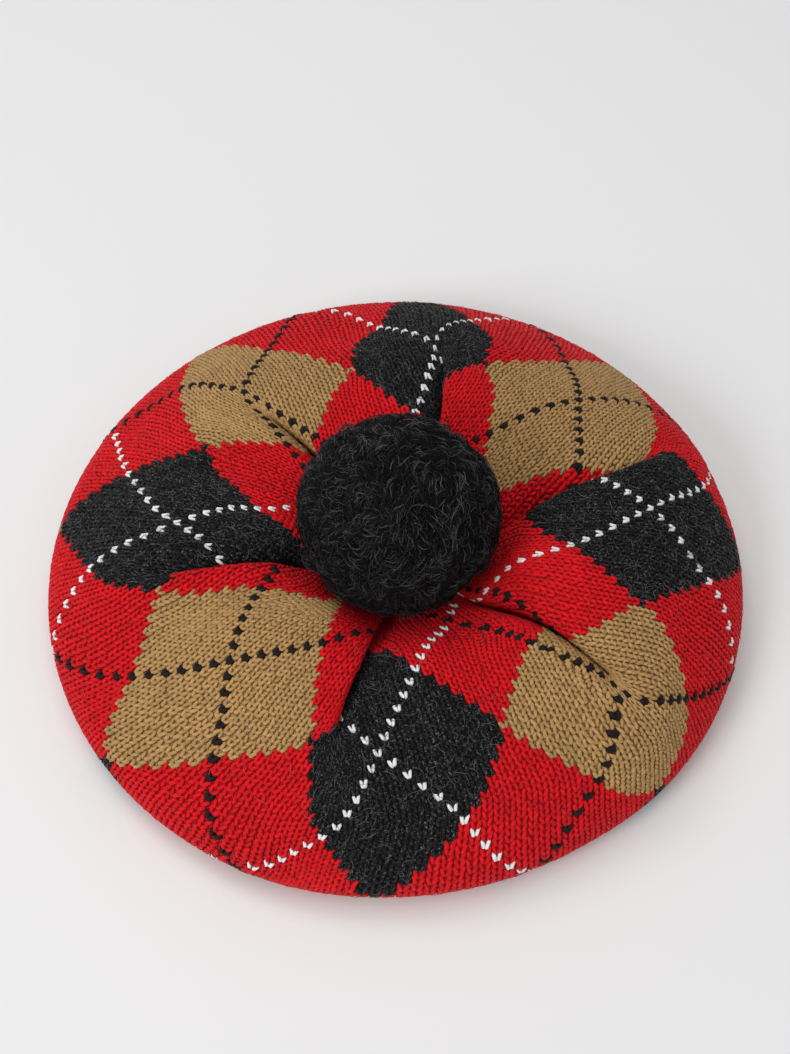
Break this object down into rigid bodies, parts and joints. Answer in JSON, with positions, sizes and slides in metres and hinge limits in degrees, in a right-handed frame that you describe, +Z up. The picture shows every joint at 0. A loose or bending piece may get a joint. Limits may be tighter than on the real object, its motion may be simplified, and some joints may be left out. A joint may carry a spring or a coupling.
{
  "type": "tam o shanter",
  "caption": "Knitted tam o' shanter: a flat round argyle crown gathered in folds under a woolly pompom, rolled over at the rim, with a headband and a hollow inside.",
  "frame": {"origin": "middle of the hat's footprint, on the table", "axes": "+Z up out of the table, the hat lying on its headband; -Y towards the front of the hat"},
  "size_m": [0.2716, 0.2701, 0.0976],
  "materials": {
    "crown": "matte bright red wool knit with charcoal and camel argyle diamonds",
    "headband": "matte red wool rib",
    "pompom": "matte near-black curly wool"
  },
  "bodies": {
    "root": {"crown": "crown", "headband": "headband", "pompom": "pompom"}
  },
  "joints": []
}
